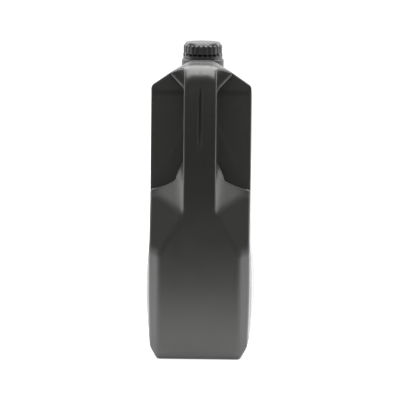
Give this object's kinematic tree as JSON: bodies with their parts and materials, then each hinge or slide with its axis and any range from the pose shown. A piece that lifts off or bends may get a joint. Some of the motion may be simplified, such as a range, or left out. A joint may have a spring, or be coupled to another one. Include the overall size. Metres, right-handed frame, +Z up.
{
  "type": "motor oil bottle",
  "caption": "Upright dark plastic oil jug with a hollow grip on its narrow side, ribbed screw cap with tamper ring, and plain labels on its wide faces.",
  "frame": {"origin": "centre of the footprint, on the floor the jug stands on", "axes": "+Z up, +X across the thickness, -Y towards the narrow side with the grip"},
  "size_m": [0.1156, 0.168, 0.321],
  "materials": {
    "jug_plastic": "satin charcoal with a fine moulded grain",
    "cap_plastic": "satin black",
    "liner_foam": "pale foam",
    "label_film": "plain pale grey film"
  },
  "bodies": {
    "bottle": {"bottle_body": "jug_plastic", "tamper_band": "cap_plastic", "front_label": "label_film", "back_label": "label_film"},
    "liner": {"cap_liner": "liner_foam"},
    "cap": {"screw_cap": "cap_plastic"}
  },
  "joints": [
    {"name": "cap_lift", "type": "slide", "parent": "bottle", "child": "liner", "axis": [0, 0, 1], "range_m": [0, 0.0106]},
    {"name": "cap_turn", "type": "hinge", "parent": "liner", "child": "cap", "pos_m": [0, 0.025, 0.314], "axis": [0, 0, 1], "range_deg": [0, 900]}
  ],
  "couplings": [
    {"joint": "cap_lift", "follows": "cap_turn", "m_per_rad": 0.00067322}
  ]
}
